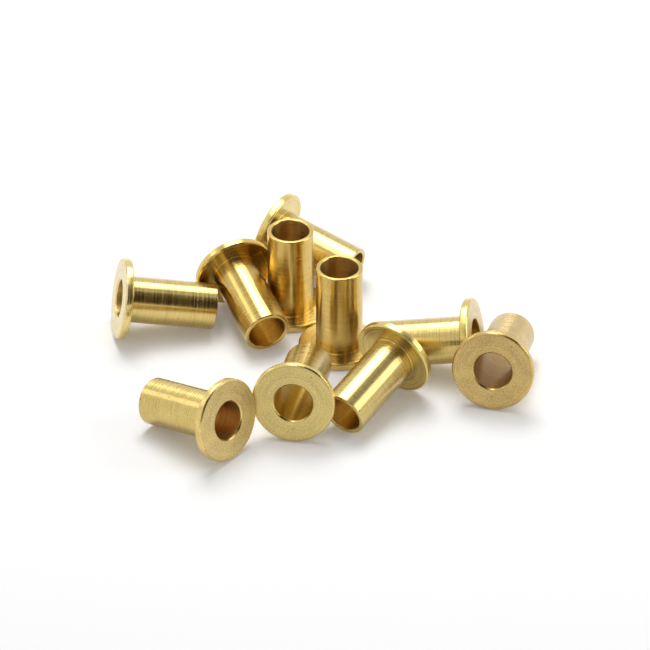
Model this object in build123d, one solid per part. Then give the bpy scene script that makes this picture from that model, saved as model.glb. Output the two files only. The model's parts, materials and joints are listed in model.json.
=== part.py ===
from build123d import *
import os
import numpy as np

# A loose heap of ten turned brass sleeves. Each is a thin tube with a flat flange at
# one end. Two stand on their flanges and eight lie on their sides, where a sleeve
# rests on the rim of its flange and the edge of its open tube end.
# Millimetres. The bench is the plane z = 0, and the origin is under the middle of
# the heap.

# The sleeve
flange_diameter = 14.0
flange_thickness = 1.4
tube_diameter = 8.0
bore_diameter = 6.5
overall_length = 16.7
mouth_chamfer = 0.25         # bore edge in the flange face
face_edge_chamfer = 0.25     # rim of the flange, on its outer face
back_edge_chamfer = 0.2      # rim of the flange, on the tube side
tube_end_chamfer = 0.15      # outer and inner edge of the open tube end
corner_fillet = 0.3          # where the tube meets the flange

# The heap. Every sleeve but the first is pushed up to the one that it is named
# with, from the bearing given, until its gap is left to the nearest sleeve.
# Headings and bearings are degrees from X towards Y. A heading is the way in which
# the open tube end points, and a sleeve with none stands on its flange.
touching_gap = 0.1
close_gap = 0.3
heap = {
    # sleeve: (heading, pushed up to, from bearing, gap)
    "standing_sleeve_front": (None, None, None, None),
    "standing_sleeve_back": (None, "standing_sleeve_front", 126.0, close_gap),
    "rear_sleeve": (-31.0, "standing_sleeve_back", 71.0, 1.9),
    "inner_left_sleeve": (-68.0, "standing_sleeve_back", -145.5, close_gap),
    "outer_left_sleeve": (8.0, "rear_sleeve", -146.5, touching_gap),
    "inner_right_sleeve": (170.0, "standing_sleeve_front", -21.5, 1.3),
    "outer_right_sleeve": (76.5, "inner_right_sleeve", -15.0, touching_gap),
    "open_front_sleeve": (-124.5, "inner_right_sleeve", -128.5, close_gap),
    "middle_front_sleeve": (81.0, "open_front_sleeve", 179.5, 0.65),
    "left_front_sleeve": (141.0, "middle_front_sleeve", -156.5, touching_gap),
}

# The outside of a sleeve, as distances along its axis from the flange face and
# out from its axis, from the edge of the flange face to the tube end.
flange_radius = flange_diameter / 2
tube_radius = tube_diameter / 2
flange_outline = [
    (0, flange_radius - face_edge_chamfer),
    (face_edge_chamfer, flange_radius),
    (flange_thickness - back_edge_chamfer, flange_radius),
    (flange_thickness, flange_radius - back_edge_chamfer),
    (flange_thickness, tube_radius + corner_fillet),
]
tube_outline = [
    (flange_thickness + corner_fillet, tube_radius),
    (overall_length - tube_end_chamfer, tube_radius),
    (overall_length, tube_radius - tube_end_chamfer),
]

# How a lying sleeve tips: its flange rim and its tube end both reach the bench.
lower_rim, lower_end = flange_outline[2][0], tube_outline[1][0]
tip_angle = np.arctan2(flange_radius - tube_radius, lower_end - lower_rim)
face_height = flange_radius * np.cos(tip_angle) + lower_rim * np.sin(tip_angle)


def turned_sleeve():
    """One sleeve as it leaves the lathe, with its axis on Z and its flange face at 0."""
    bore_radius = bore_diameter / 2
    inside = [
        (overall_length, bore_radius + tube_end_chamfer),
        (overall_length - tube_end_chamfer, bore_radius),
        (mouth_chamfer, bore_radius),
        (0, bore_radius + mouth_chamfer),
    ]
    turned_lines = tube_outline + inside + flange_outline
    with BuildSketch(Plane.XZ) as section:
        with BuildLine():
            Polyline(*[(out, along) for along, out in turned_lines])
            corner = [(out, along) for along, out in (flange_outline[-1], tube_outline[0])]
            RadiusArc(*corner, -corner_fillet)
        make_face()
    return revolve(section.sketch, Axis.Z).solid()


class Place:
    """Where a sleeve is: the point of the bench under the middle of its length, its heading."""

    def __init__(self, middle, heading):
        self.middle = np.array(middle, dtype=float)
        self.heading = heading
        if heading is None:
            self.axis, self.across = np.array([0, 0, 1.0]), np.array([1.0, 0, 0])
            self.face = np.array([*self.middle, 0.0])
        else:
            turn = np.radians(heading)
            forward = np.array([np.cos(turn), np.sin(turn), 0])
            self.across = np.array([-np.sin(turn), np.cos(turn), 0])
            self.axis = forward * np.cos(tip_angle) - np.array([0, 0, np.sin(tip_angle)])
            back = overall_length / 2 * np.cos(tip_angle) * forward
            self.face = np.array([*self.middle, face_height]) - back

    def location(self):
        """The move that brings a sleeve from the lathe to this place."""
        return Plane(
            origin=tuple(self.face), x_dir=tuple(self.across), z_dir=tuple(self.axis)
        ).location

    def outside_points(self, spacing=0.8):
        """Points all over the outside, in rings round the axis."""
        rings = flange_outline + tube_outline
        sides = np.arange(tube_outline[0][0], tube_outline[1][0], spacing)
        along, out = np.array(rings + [(side, tube_radius) for side in sides]).T
        turn = np.radians(np.arange(0, 360, 4))[:, None, None]
        square = np.cross(self.axis, self.across)
        ring = np.cos(turn) * self.across + np.sin(turn) * square
        return self.face + along[:, None] * self.axis + out[:, None] * ring

    def distance_to(self, points):
        """The least distance from points to the outside of the sleeve."""
        offset = points - self.face
        along = offset @ self.axis
        out = np.linalg.norm(offset - along[..., None] * self.axis, axis=-1)
        corners = np.array([(0, 0)] + flange_outline + tube_outline + [(overall_length, 0)])
        nearest = np.inf
        for start, end in zip(corners[:-1], corners[1:]):
            edge = end - start
            share = ((along - start[0]) * edge[0] + (out - start[1]) * edge[1]) / (edge @ edge)
            share = np.clip(share, 0, 1)
            gaps = np.hypot(along - start[0] - share * edge[0], out - start[1] - share * edge[1])
            nearest = min(nearest, gaps.min())
        return nearest

    def gap_to(self, other):
        return min(self.distance_to(other.outside_points()), other.distance_to(self.outside_points()))


def pushed_up(heading, start, bearing, gap, others, tolerance=0.002):
    """The place that a sleeve is pushed in to from afar, where only the gap is left."""
    bearing = np.radians(bearing)
    line = np.array([np.cos(bearing), np.sin(bearing)])
    travel = 2 * (overall_length + flange_diameter)
    while True:
        place = Place(start + travel * line, heading)
        spare = min(place.gap_to(other) for other in others) - gap
        if spare < tolerance:
            return place
        travel -= spare


places = {}
for name, (heading, neighbour, bearing, gap) in heap.items():
    if neighbour is None:
        places[name] = Place((0, 0), heading)
    else:
        start = places[neighbour].middle
        places[name] = pushed_up(heading, start, bearing, gap, places.values())

one_sleeve = turned_sleeve()
sleeves = {name: place.location() * one_sleeve for name, place in places.items()}
heap_box = Compound(list(sleeves.values())).bounding_box()
to_origin = Pos(-heap_box.center().X, -heap_box.center().Y, -heap_box.min.Z)
os.makedirs("parts", exist_ok=True)
for name, sleeve in sleeves.items():
    sleeve = to_origin * sleeve
    sleeve.label = name
    export_step(sleeve, f"parts/{name}.step")
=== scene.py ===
import json
import math

import bmesh
import bpy
from mathutils import Matrix, Vector


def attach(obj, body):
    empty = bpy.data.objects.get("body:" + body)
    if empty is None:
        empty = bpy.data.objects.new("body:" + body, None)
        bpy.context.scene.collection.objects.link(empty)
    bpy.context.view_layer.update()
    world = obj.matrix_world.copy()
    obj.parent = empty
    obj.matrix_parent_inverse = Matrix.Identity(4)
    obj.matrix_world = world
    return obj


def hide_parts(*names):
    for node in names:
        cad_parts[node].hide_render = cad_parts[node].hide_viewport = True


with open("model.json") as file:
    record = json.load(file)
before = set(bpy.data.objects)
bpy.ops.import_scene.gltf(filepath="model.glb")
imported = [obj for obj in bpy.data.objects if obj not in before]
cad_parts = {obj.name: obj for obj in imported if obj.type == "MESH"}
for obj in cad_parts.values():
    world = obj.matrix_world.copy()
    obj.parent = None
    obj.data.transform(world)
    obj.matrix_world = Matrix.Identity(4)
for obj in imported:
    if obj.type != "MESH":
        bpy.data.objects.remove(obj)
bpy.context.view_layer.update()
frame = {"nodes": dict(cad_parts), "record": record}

# ---- The ten sleeves ----
# Thin-walled flanged sleeves of free-cutting brass, turned from bar in one setting:
# the tube, the flange, the bore and their chamfers are all cut by the lathe, which
# leaves fine rings round the tube and on both sides of the flange.

FLANGE_RADIUS = 7.0e-3
FLANGE_THICKNESS = 1.4e-3
TUBE_RADIUS = 4.0e-3
BORE_RADIUS = 3.25e-3
SLEEVE_LENGTH = 16.7e-3
MOUTH_CHAMFER = 0.25e-3
FACE_EDGE_CHAMFER = 0.25e-3
BACK_EDGE_CHAMFER = 0.2e-3
TUBE_END_CHAMFER = 0.15e-3
CORNER_FILLET = 0.12e-3
EDGE_ROUNDING = 0.035e-3  # what deburring leaves on each edge
SHARP_EDGE = math.radians(30)  # an edge that turns more than this was deburred
FACETS = 160  # round a sleeve
FILLET_FACETS = 6


def sleeve_section():
    """The cut face of half a sleeve: points (out from the axis, along it from the flange face)."""
    fillet_angles = [math.radians(90 * step / FILLET_FACETS) for step in range(FILLET_FACETS + 1)]
    corner = [
        (
            TUBE_RADIUS + CORNER_FILLET * (1 - math.sin(angle)),
            FLANGE_THICKNESS + CORNER_FILLET * (1 - math.cos(angle)),
        )
        for angle in fillet_angles
    ]
    return [
        (BORE_RADIUS + MOUTH_CHAMFER, 0),
        (FLANGE_RADIUS - FACE_EDGE_CHAMFER, 0),
        (FLANGE_RADIUS, FACE_EDGE_CHAMFER),
        (FLANGE_RADIUS, FLANGE_THICKNESS - BACK_EDGE_CHAMFER),
        (FLANGE_RADIUS - BACK_EDGE_CHAMFER, FLANGE_THICKNESS),
        *corner,
        (TUBE_RADIUS, SLEEVE_LENGTH - TUBE_END_CHAMFER),
        (TUBE_RADIUS - TUBE_END_CHAMFER, SLEEVE_LENGTH),
        (BORE_RADIUS + TUBE_END_CHAMFER, SLEEVE_LENGTH),
        (BORE_RADIUS, SLEEVE_LENGTH - TUBE_END_CHAMFER),
        (BORE_RADIUS, MOUTH_CHAMFER),
    ]


def lathed_sleeve(name, place):
    """A sleeve turned about its axis, its edges deburred, and set down where it lies."""
    shape = bmesh.new()
    points = [shape.verts.new((out, 0, along)) for out, along in sleeve_section()]
    lines = [shape.edges.new(ends) for ends in zip(points, points[1:] + points[:1])]
    bmesh.ops.spin(
        shape,
        geom=points + lines,
        cent=(0, 0, 0),
        axis=(0, 0, 1),
        angle=math.tau,
        steps=FACETS,
        use_merge=True,
    )
    bmesh.ops.remove_doubles(shape, verts=shape.verts, dist=1e-7)
    bmesh.ops.recalc_face_normals(shape, faces=shape.faces)
    bmesh.ops.bevel(
        shape,
        geom=[edge for edge in shape.edges if edge.calc_face_angle(0) > SHARP_EDGE],
        offset=EDGE_ROUNDING,
        offset_type="OFFSET",
        affect="EDGES",
        segments=2,
        profile=0.5,
        material=-1,
    )
    bmesh.ops.transform(shape, matrix=place, verts=shape.verts)
    for face in shape.faces:
        face.smooth = True
    mesh = bpy.data.meshes.new(name)
    shape.to_mesh(mesh)
    shape.free()
    sleeve = bpy.data.objects.new(name, mesh)
    bpy.context.collection.objects.link(sleeve)
    normals = sleeve.modifiers.new("flat faces stay flat", "WEIGHTED_NORMAL")
    normals.keep_sharp = True
    return sleeve


def colour(hex_code):
    """An sRGB hex colour as the linear RGBA that a shader takes."""
    levels = [int(hex_code[i : i + 2], 16) / 255 for i in (1, 3, 5)]
    linear = [p / 12.92 if p <= 0.04045 else ((p + 0.055) / 1.055) ** 2.4 for p in levels]
    return (*linear, 1.0)


def add_node(tree, kind, settings=None, links=None):
    """A node with its attributes and socket values set, and its inputs linked."""
    node = tree.nodes.new(kind)
    for key, value in (settings or {}).items():
        if isinstance(key, str) and hasattr(node, key):
            setattr(node, key, value)
        else:
            node.inputs[key].default_value = value
    for key, output in (links or {}).items():
        tree.links.new(output, node.inputs[key])
    return node


FACE_LEEWAY = 0.03e-3  # so near to the plane of the outer face is on that face
FLANGE_LEEWAY = 0.05e-3
BORE_FADE = (0.02e-3, 0.04e-3)  # so far outside its wall the bore's colour and painted light fade out
RING_WANDER = 0.03  # makes each ring change slowly from one side of the sleeve to the other


def parts_of_sleeve(tree, place):
    """Where the metal is, measured from the sleeve's own flange face and axis.

    on_face, on_flange and in_bore are 1 on that part of the sleeve and 0 elsewhere.
    """
    where = add_node(tree, "ShaderNodeTexCoord").outputs["Object"]
    centred = add_node(
        tree,
        "ShaderNodeMapping",
        {"vector_type": "TEXTURE", "Location": place.to_translation(), "Rotation": place.to_euler()},
        {"Vector": where},
    ).outputs["Vector"]
    axes = add_node(tree, "ShaderNodeSeparateXYZ", links={0: centred})
    along = axes.outputs["Z"]
    flat = add_node(
        tree, "ShaderNodeVectorMath", {"operation": "MULTIPLY", 1: (1, 1, 0)}, {0: centred}
    ).outputs[0]
    radius = add_node(tree, "ShaderNodeVectorMath", {"operation": "LENGTH"}, {0: flat}).outputs["Value"]
    drift = add_node(
        tree, "ShaderNodeMath", {"operation": "MULTIPLY", 1: RING_WANDER}, {0: axes.outputs["X"]}
    ).outputs[0]
    ringed = add_node(tree, "ShaderNodeCombineXYZ", links={"X": radius, "Y": along, "Z": drift}).outputs[0]
    on_face = add_node(
        tree, "ShaderNodeMath", {"operation": "COMPARE", 1: 0.0, 2: FACE_LEEWAY}, {0: along}
    ).outputs[0]
    on_flange = add_node(
        tree,
        "ShaderNodeMath",
        {"operation": "COMPARE", 1: FLANGE_THICKNESS / 2, 2: FLANGE_THICKNESS / 2 + FLANGE_LEEWAY},
        {0: along},
    ).outputs[0]
    in_bore = add_node(
        tree,
        "ShaderNodeMapRange",
        {"From Min": BORE_RADIUS + BORE_FADE[1], "From Max": BORE_RADIUS + BORE_FADE[0]},
        {"Value": radius},
    ).outputs[0]
    return {
        "where": where,
        "centred": centred,
        "ringed": ringed,
        "along": along,
        "on_face": on_face,
        "on_flange": on_flange,
        "in_bore": in_bore,
    }


# The real turning marks and the grain of the tumbled face are about 0.1 mm apart. They
# are drawn wider apart, with finer ones between, so that they show.
RING_SPACING = 0.24e-3
GRAIN_SPACING = 0.22e-3
TARNISH_PATCH = 4e-3  # how large a patch of tarnish from handling is
PINHOLE_SPACING = 2.6e-3


def marks_on_sleeve(tree, parts, tarnishing):
    """The ring and grain patterns, how tarnished the metal is, and its pinholes, which are below 1."""
    rings = add_node(
        tree,
        "ShaderNodeTexNoise",
        {"Scale": 1 / RING_SPACING, "Detail": 2.0, "Roughness": 0.7},
        {"Vector": parts["ringed"]},
    ).outputs["Fac"]
    grains = add_node(
        tree,
        "ShaderNodeTexNoise",
        {"Scale": 1 / GRAIN_SPACING, "Detail": 2.0, "Roughness": 0.7},
        {"Vector": parts["centred"]},
    )
    patches = add_node(
        tree,
        "ShaderNodeTexNoise",
        {"Scale": 1 / TARNISH_PATCH, "Detail": 5.0, "Roughness": 0.65},
        {"Vector": parts["centred"]},
    ).outputs["Fac"]
    tarnished = add_node(
        tree,
        "ShaderNodeMapRange",
        {"From Min": 0.35, "From Max": 0.7, "To Min": tarnishing * 0.4, "To Max": tarnishing},
        {"Value": patches},
    ).outputs[0]
    # A few pinholes 0.2 mm across, where the bar had a flaw.
    flaws = add_node(
        tree, "ShaderNodeTexVoronoi", {"Scale": 1 / PINHOLE_SPACING}, {"Vector": parts["centred"]}
    ).outputs["Distance"]
    pinholes = add_node(
        tree, "ShaderNodeMapRange", {"From Min": 0.035, "From Max": 0.06, "To Min": 0.25}, {"Value": flaws}
    ).outputs[0]
    return rings, grains, tarnished, pinholes


RING_SHADE = 0.79  # how dark the hollow of a ring is; 1 is no darker than the rest
GRAIN_SHADE = 0.88
FACE_GRAIN_SHADE = 0.8
TARNISHED_GRAIN_SHADE = -0.7  # what full tarnish adds to the shade of the face's grain
CORNER_SHADE_STRETCH = (2e-3, 6e-3)  # from the flange face: over this stretch the painted shade beside the flange fades out


def shade_of_brass(tree, parts, marks, flange_corner_painted_shade):
    """How dark the marks make the metal.

    The rings and the grain darken it a little in their hollows, and the rings are drawn
    darker near the flange: painted shade in the corner beside the flange.
    """
    rings, grains, tarnished, pinholes = marks
    # Painted shade in the corner beside the flange: there the rings are drawn darker.
    ring_and_corner_shade = add_node(
        tree,
        "ShaderNodeMapRange",
        {
            "From Min": CORNER_SHADE_STRETCH[0],
            "From Max": CORNER_SHADE_STRETCH[1],
            "To Min": flange_corner_painted_shade,
            "To Max": RING_SHADE,
        },
        {"Value": parts["along"]},
    ).outputs[0]
    ring_shade = add_node(
        tree,
        "ShaderNodeMapRange",
        {"From Min": 0.32, "From Max": 0.56},
        {"Value": rings, "To Min": ring_and_corner_shade},
    ).outputs[0]
    face_grain = add_node(
        tree,
        "ShaderNodeMath",
        {"operation": "MULTIPLY_ADD", 1: TARNISHED_GRAIN_SHADE, 2: FACE_GRAIN_SHADE},
        {0: tarnished},
    ).outputs[0]
    grain_depth = add_node(
        tree, "ShaderNodeMix", {"data_type": "FLOAT", 2: GRAIN_SHADE}, {0: parts["on_face"], 3: face_grain}
    ).outputs[0]
    grain_shade = add_node(
        tree,
        "ShaderNodeMapRange",
        {"From Min": 0.38, "From Max": 0.56},
        {"Value": grains.outputs["Fac"], "To Min": grain_depth},
    ).outputs[0]
    shade = add_node(
        tree, "ShaderNodeMath", {"operation": "MULTIPLY"}, {0: ring_shade, 1: grain_shade}
    ).outputs[0]
    return add_node(tree, "ShaderNodeMath", {"operation": "MULTIPLY"}, {0: shade, 1: pinholes}).outputs[0]


FACE_ROUGHNESS = 0.34
BORE_ROUGHNESS = 0.3
TARNISH_ROUGHNESS = 0.15  # what full tarnish adds


def roughness_of_brass(tree, parts, marks, ring_roughness):
    """How rough the metal is.

    The lathe leaves the outside bright, tumbling dulls the outer face, and the bore is
    drilled.
    """
    rings, _, tarnished, _ = marks
    turned = add_node(
        tree,
        "ShaderNodeMapRange",
        {"From Min": 0.35, "From Max": 0.65, "To Min": ring_roughness[0], "To Max": ring_roughness[1]},
        {"Value": rings},
    ).outputs[0]
    outside = add_node(
        tree,
        "ShaderNodeMix",
        {"data_type": "FLOAT", 3: FACE_ROUGHNESS},
        {0: parts["on_face"], 2: turned},
    ).outputs[0]
    clean = add_node(
        tree,
        "ShaderNodeMix",
        {"data_type": "FLOAT", 3: BORE_ROUGHNESS},
        {0: parts["in_bore"], 2: outside},
    ).outputs[0]
    return add_node(
        tree,
        "ShaderNodeMath",
        {"operation": "MULTIPLY_ADD", 1: TARNISH_ROUGHNESS},
        {0: tarnished, 2: clean},
    ).outputs[0]


def spread_of_reflections(tree, place, parts, grains):
    """The way in which the metal spreads each reflection.

    The rings spread it across themselves: along the tube, and outwards on the flange.
    The tumbled face has lost that direction, and each grain spreads it its own way.
    """
    offset = add_node(
        tree,
        "ShaderNodeVectorMath",
        {"operation": "SUBTRACT", 1: place.to_translation()},
        {0: parts["where"]},
    ).outputs[0]
    along_rings = add_node(
        tree, "ShaderNodeVectorMath", {"operation": "CROSS_PRODUCT", 0: place.col[2].to_3d()}, {1: offset}
    ).outputs[0]
    facing = add_node(tree, "ShaderNodeNewGeometry").outputs["Normal"]
    across_rings = add_node(
        tree, "ShaderNodeVectorMath", {"operation": "CROSS_PRODUCT"}, {0: along_rings, 1: facing}
    ).outputs[0]
    any_way = add_node(
        tree,
        "ShaderNodeVectorMath",
        {"operation": "SUBTRACT", 1: (0.5, 0.5, 0.5)},
        {0: grains.outputs["Color"]},
    ).outputs[0]
    return add_node(
        tree,
        "ShaderNodeMix",
        {"data_type": "VECTOR"},
        {0: parts["on_face"], 4: across_rings, 5: any_way},
    ).outputs[1]


RING_DEPTH = 4e-6
GRAIN_DEPTH = 8e-6


def turned_brass(
    name,
    place,
    tint="#E3CB7D",
    flange_tint_and_light="#EFD782",
    bore_tint_and_light="#E4C276",
    tarnish="#A87A3C",
    tarnishing=0.2,
    ring_roughness=(0.165, 0.25),
    flange_corner_painted_shade=RING_SHADE,
):
    """Free-cutting brass as turned: a warm yellow metal, ringed by the tool.

    Its outer face was tumbled and is satin and finely grained.
    """
    material = bpy.data.materials.new(name)
    material.use_nodes = True
    tree = material.node_tree
    shader = tree.nodes["Principled BSDF"]
    shader.inputs["Metallic"].default_value = 1.0
    parts = parts_of_sleeve(tree, place)
    on_face, in_bore = parts["on_face"], parts["in_bore"]
    marks = marks_on_sleeve(tree, parts, tarnishing)
    rings, grains, tarnished, _ = marks

    # The flange's own colour, lighter than the tube's; on some sleeves it is set lighter still: painted
    # light on the flange.
    skin = add_node(
        tree,
        "ShaderNodeMix",
        {"data_type": "RGBA", 6: colour(tint), 7: colour(flange_tint_and_light)},
        {0: parts["on_flange"]},
    ).outputs[2]
    skin = add_node(
        tree, "ShaderNodeMix", {"data_type": "RGBA", 7: colour(tarnish)}, {0: tarnished, 6: skin}
    ).outputs[2]
    # The bore's colour, set lighter or darker for each sleeve of its own: painted light and shade inside the
    # bore.
    skin = add_node(
        tree, "ShaderNodeMix", {"data_type": "RGBA", 7: colour(bore_tint_and_light)}, {0: in_bore, 6: skin}
    ).outputs[2]
    shade = shade_of_brass(tree, parts, marks, flange_corner_painted_shade)
    shaded = add_node(
        tree, "ShaderNodeVectorMath", {"operation": "SCALE"}, {0: skin, "Scale": shade}
    ).outputs[0]
    tree.links.new(shaded, shader.inputs["Base Color"])

    roughness = roughness_of_brass(tree, parts, marks, ring_roughness)
    tree.links.new(roughness, shader.inputs["Roughness"])

    # A film of oil, thickest in the grain of the face, whitens the metal where it is seen at a slant.
    oil = add_node(tree, "ShaderNodeMapRange", {"To Min": 0.4, "To Max": 1.0}, {"Value": on_face}).outputs[0]
    tree.links.new(oil, shader.inputs["Coat Weight"])
    shader.inputs["Coat Roughness"].default_value = 0.25

    shader.inputs["Anisotropic"].default_value = 0.93
    spread = spread_of_reflections(tree, place, parts, grains)
    tree.links.new(spread, shader.inputs["Tangent"])

    # The rings are cut all over, and the grain is pitted into the outer face alone.
    cut = add_node(
        tree, "ShaderNodeBump", {"Strength": 1.0, "Distance": RING_DEPTH}, {"Height": rings}
    ).outputs[0]
    grained = add_node(
        tree,
        "ShaderNodeBump",
        {"Distance": GRAIN_DEPTH},
        {"Height": grains.outputs["Fac"], "Normal": cut, "Strength": on_face},
    ).outputs[0]
    tree.links.new(grained, shader.inputs["Normal"])
    return material


def resting_place(node):
    """Where a sleeve lies: its flange face's centre, with Z along its axis to the tube end."""
    bore = next(m for m in frame["record"]["mounts"] if m["name"] == node + "_bore")
    out = Vector(bore["axis"])
    axis = out if out.z > 0.9 else -out
    upright = Vector((1, 0, 0)) if axis.z > 0.9 else Vector((0, 0, 1))
    side = (upright - upright.dot(axis) * axis).normalized()
    middle = (MOUTH_CHAMFER + SLEEVE_LENGTH - TUBE_END_CHAMFER) / 2
    face = Vector(bore["pos_m"]) - middle * axis
    turned = Matrix((side, axis.cross(side), axis)).transposed()
    return Matrix.Translation(face) @ turned.to_4x4()


# The sleeves differ a little in colour, and two of them are duller and browner than the rest.
# Their bores, and the flanges of outer_left_sleeve and left_front_sleeve, are also set lighter
# or darker one by one: painted light and shade.
GOLDEN = {"tint": "#E5C66E", "flange_tint_and_light": "#ECCE76", "bore_tint_and_light": "#E4BC70"}
SHADES = {
    "inner_left_sleeve": {**GOLDEN, "bore_tint_and_light": "#EECB6C"},
    "standing_sleeve_back": GOLDEN,
    "standing_sleeve_front": {**GOLDEN, "tarnishing": 0.32, "ring_roughness": (0.19, 0.22)},
    # Painted shade on the tube beside the flange, and a lighter bore: painted light.
    "open_front_sleeve": {"bore_tint_and_light": "#F6D47C", "flange_corner_painted_shade": 0.5},
    "middle_front_sleeve": {"bore_tint_and_light": "#EECE66"},
    "outer_left_sleeve": {"flange_tint_and_light": "#F4DE8E"},
    "left_front_sleeve": {
        "tint": "#E8D07E",
        "flange_tint_and_light": "#F8DD8A",
        "bore_tint_and_light": "#E0B060",
        "tarnishing": 0.36,
    },
    "outer_right_sleeve": {
        "tint": "#ECD48E",
        "flange_tint_and_light": "#EECE7A",
        "bore_tint_and_light": "#C8A052",
        "tarnish": "#A87436",
        "tarnishing": 0.4,
    },
}
for node in frame["nodes"]:
    place = resting_place(node)
    sleeve = lathed_sleeve("brass_" + node, place)
    sleeve.data.materials.append(turned_brass("turned_brass_" + node, place, **SHADES.get(node, {})))
    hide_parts(node)
    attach(sleeve, node)

# ---- The bench ----
# A sheet of matt white card that runs out of sight on all sides. It has no gloss at
# all, so that the sleeves cast their shadows on it but are not mirrored in it.

BENCH_REACH = 6

bench_shape = bmesh.new()
bmesh.ops.create_grid(bench_shape, x_segments=1, y_segments=1, size=BENCH_REACH)
bench_mesh = bpy.data.meshes.new("bench")
bench_shape.to_mesh(bench_mesh)
bench_shape.free()
bench = bpy.data.objects.new("bench", bench_mesh)
bpy.context.collection.objects.link(bench)
card = bpy.data.materials.new("white_card")
card.use_nodes = True
card_shader = card.node_tree.nodes["Principled BSDF"]
card_shader.inputs["Base Color"].default_value = colour("#F7F7F7")
card_shader.inputs["Roughness"].default_value = 1.0
card_shader.inputs["Specular IOR Level"].default_value = 0.0
card_shader.inputs["Emission Color"].default_value = (1, 1, 1, 1)


def seen_directly(tree):
    """1 where the camera, a reflection or a transparency shows the thing, 0 where it only lights others."""
    ray = add_node(tree, "ShaderNodeLightPath")
    seen = ray.outputs["Is Camera Ray"]
    for other in ("Is Glossy Ray", "Is Transmission Ray"):
        seen = add_node(
            tree, "ShaderNodeMath", {"operation": "MAXIMUM"}, {0: seen, 1: ray.outputs[other]}
        ).outputs[0]
    return seen


# The lamps light the card less far from the heap, so it is lifted to white there.
card_spot = add_node(card.node_tree, "ShaderNodeTexCoord").outputs["Object"]
distance = add_node(
    card.node_tree, "ShaderNodeVectorMath", {"operation": "LENGTH"}, {0: card_spot}
).outputs["Value"]
card_glow = add_node(
    card.node_tree,
    "ShaderNodeMapRange",
    {"From Min": 0.1, "From Max": 0.45, "To Min": 0.12, "To Max": 0.8},
    {"Value": distance},
).outputs[0]
lift = add_node(
    card.node_tree,
    "ShaderNodeMath",
    {"operation": "MULTIPLY"},
    {0: seen_directly(card.node_tree), 1: card_glow},
).outputs[0]
card.node_tree.links.new(lift, card_shader.inputs["Emission Strength"])
bench_mesh.materials.append(card)

# ---- The lights ----
# A large softbox above and behind the heap with a brighter middle, a strip light
# beside it, a smaller softbox low on each side, a white room, and dark and grey
# cards round the heap that the brass shows as its dark bands.


def towards_heap(distance, bearing, elevation):
    """A place at that distance from the heap, facing it. Bearing 90 is behind it."""
    a, e = math.radians(bearing), math.radians(elevation)
    out = Vector((math.cos(e) * math.cos(a), math.cos(e) * math.sin(a), math.sin(e)))
    return Matrix.Translation(out * distance) @ out.to_track_quat("Z", "Y").to_matrix().to_4x4()


def softbox(name, brightness, width, height, place):
    """A rectangular softbox whose face is brightness times as bright as white card."""
    lamp = bpy.data.lights.new(name, "AREA")
    lamp.shape = "RECTANGLE"
    lamp.size = width
    lamp.size_y = height
    lamp.energy = brightness * math.pi * width * height
    lamp_object = bpy.data.objects.new(name, lamp)
    lamp_object.matrix_world = place
    bpy.context.collection.objects.link(lamp_object)


def studio_card(name, brightness, width, height, place, tone="#FFFFFF"):
    """A card that only the metal sees, brightness times as bright as white card."""
    shape = bmesh.new()
    bmesh.ops.create_grid(shape, x_segments=1, y_segments=1, size=0.5)
    stretch = Matrix.Diagonal((width, height, 1, 1))
    bmesh.ops.transform(shape, matrix=place @ stretch, verts=shape.verts)
    mesh = bpy.data.meshes.new(name)
    shape.to_mesh(mesh)
    shape.free()
    paper = bpy.data.materials.new(name)
    paper.use_nodes = True
    paper_shader = paper.node_tree.nodes["Principled BSDF"]
    paper_shader.inputs["Base Color"].default_value = (0, 0, 0, 1)
    paper_shader.inputs["Specular IOR Level"].default_value = 0.0
    paper_shader.inputs["Emission Color"].default_value = colour(tone)
    paper_shader.inputs["Emission Strength"].default_value = brightness
    mesh.materials.append(paper)
    flag = bpy.data.objects.new(name, mesh)
    bpy.context.collection.objects.link(flag)
    flag.visible_camera = False
    flag.visible_diffuse = False
    flag.visible_shadow = False


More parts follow.
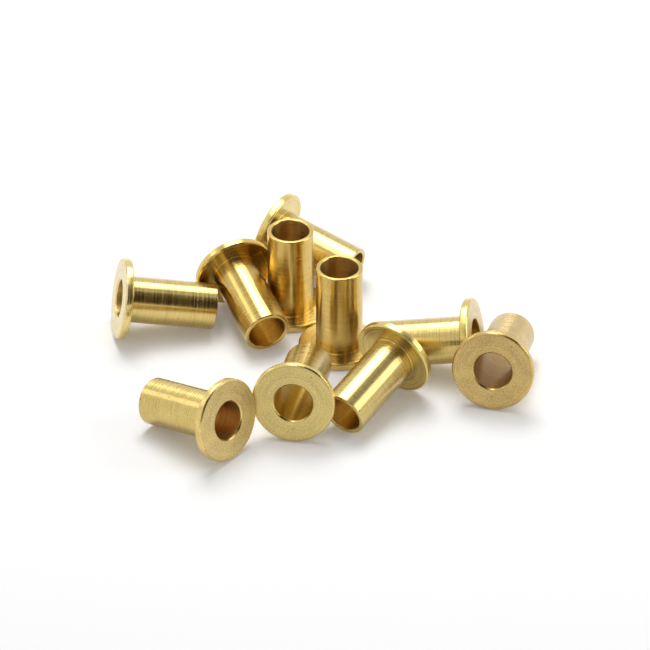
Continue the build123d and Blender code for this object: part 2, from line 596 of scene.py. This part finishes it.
# Each one's brightness, width and height, then its distance, bearing and elevation.
STRIP_BEARING = 134
fore_and_aft = Matrix.Rotation(math.radians(90 - STRIP_BEARING), 4, "Z")
softbox("softbox_over_the_heap", 3.0, 0.39, 0.41, towards_heap(0.6, 94, 64.5))
softbox("hot_spot_of_the_softbox", 3.5, 0.29, 0.18, towards_heap(0.59, 90, 61))
softbox("strip_light_over_the_heap", 2.8, 0.14, 0.48, towards_heap(0.59, STRIP_BEARING, 76) @ fore_and_aft)
softbox("softbox_on_the_right", 2.2, 0.30, 0.28, towards_heap(0.6, 0, 29))
softbox("softbox_on_the_left", 1.6, 0.22, 0.13, towards_heap(0.6, 163, 36))
studio_card("dark_brown_card_in_front", 0.03, 0.72, 0.70, towards_heap(0.62, -60, 44), "#FFA562")
studio_card("grey_card_on_the_front_left", 0.2, 0.34, 0.26, towards_heap(0.62, -120, 14))
studio_card("grey_card_on_the_right", 0.42, 0.26, 0.42, towards_heap(0.63, 8, 65.5))
studio_card("grey_card_on_the_left", 0.5, 0.20, 0.10, towards_heap(0.63, 144, 53))

world = bpy.data.worlds.new("white_room")
bpy.context.scene.world = world
world.use_nodes = True
room = world.node_tree
room_glow = add_node(
    room, "ShaderNodeMapRange", {"To Min": 0.3, "To Max": 1.0}, {"Value": seen_directly(room)}
).outputs[0]
room.links.new(room_glow, room.nodes["Background"].inputs["Strength"])
room.nodes["Background"].inputs["Color"].default_value = (1, 1, 1, 1)

# ---- The camera ----
# A long lens, 800 mm from the heap and 34 degrees above the bench, that looks at the
# bench a little behind the middle of the heap.

CAMERA_DISTANCE = 0.801
CAMERA_ELEVATION = math.radians(34.04)
AIM = Vector((0.63e-3, 9.19e-3, 0))

lens = bpy.data.cameras.new("camera")
lens.sensor_width = 36
lens.lens = 255.9
lens.clip_end = 20
camera = bpy.data.objects.new("camera", lens)
bpy.context.collection.objects.link(camera)
away = Vector((0, -math.cos(CAMERA_ELEVATION), math.sin(CAMERA_ELEVATION)))
camera.location = AIM + CAMERA_DISTANCE * away
camera.rotation_mode = "QUATERNION"
camera.rotation_quaternion = (-away).to_track_quat("-Z", "Y")
bpy.context.scene.camera = camera
bpy.context.scene.view_settings.view_transform = "Standard"
